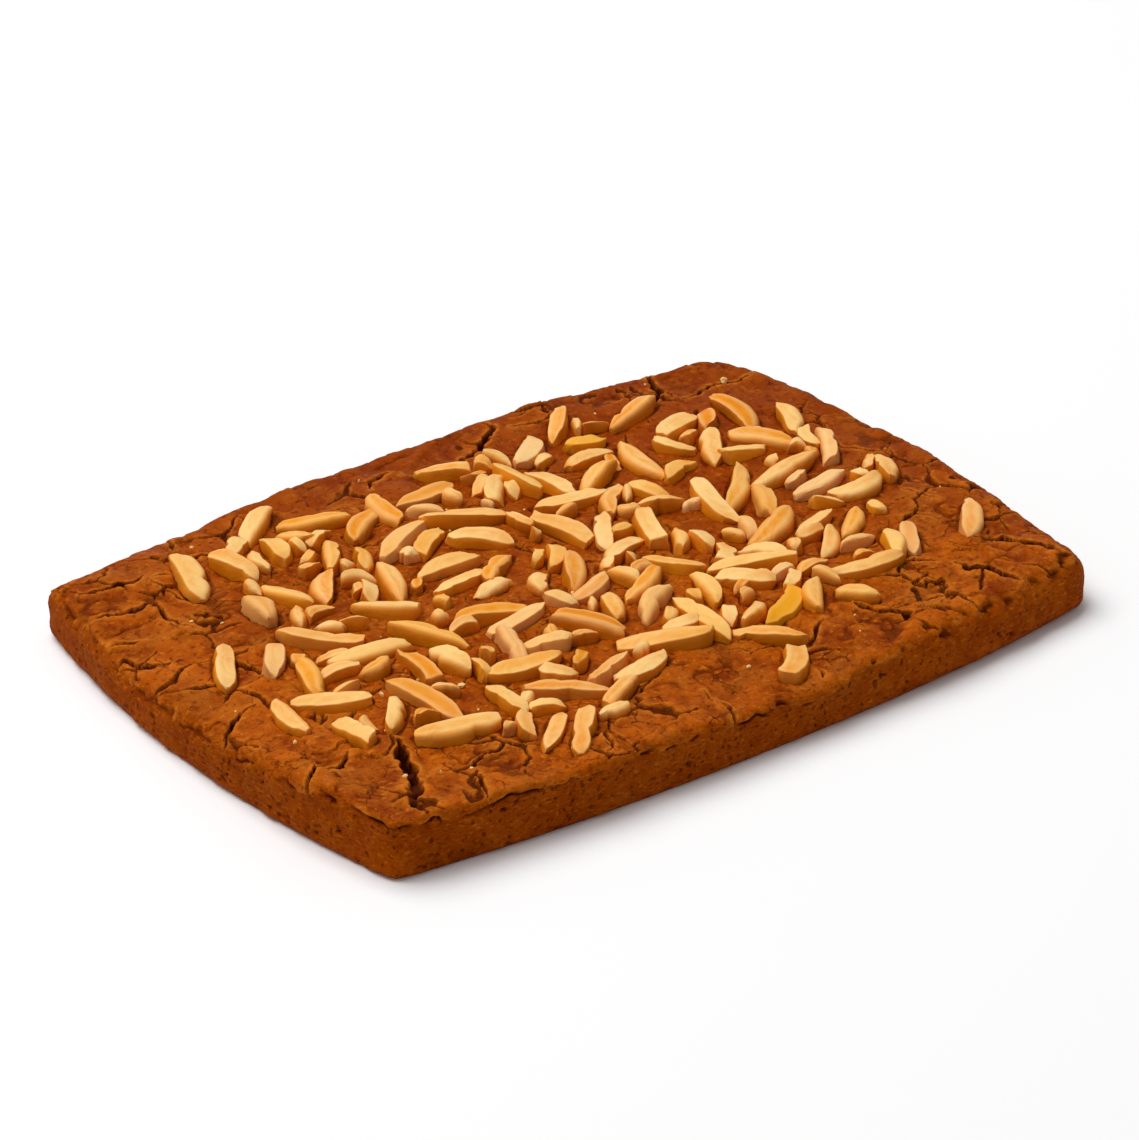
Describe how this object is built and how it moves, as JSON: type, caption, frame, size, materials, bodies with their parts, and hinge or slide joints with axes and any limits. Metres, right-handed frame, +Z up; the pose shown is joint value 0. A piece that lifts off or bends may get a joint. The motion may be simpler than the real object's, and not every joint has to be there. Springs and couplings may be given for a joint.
{
  "type": "speculaas biscuit slab with almonds",
  "caption": "Thick rectangular slab of spiced biscuit with softly swollen sides, a cracked brown crust and slivered almonds baked into its top.",
  "frame": {"origin": "middle of the flat underside", "axes": "+X along the long sides, +Y across the biscuit, +Z up through the almond-strewn top"},
  "size_m": [0.213, 0.1508, 0.018],
  "materials": {
    "crust": "matt baked biscuit crust, cracked",
    "almond": "waxy toasted almond"
  },
  "bodies": {
    "root": {"speculaas": "crust"}
  },
  "joints": []
}
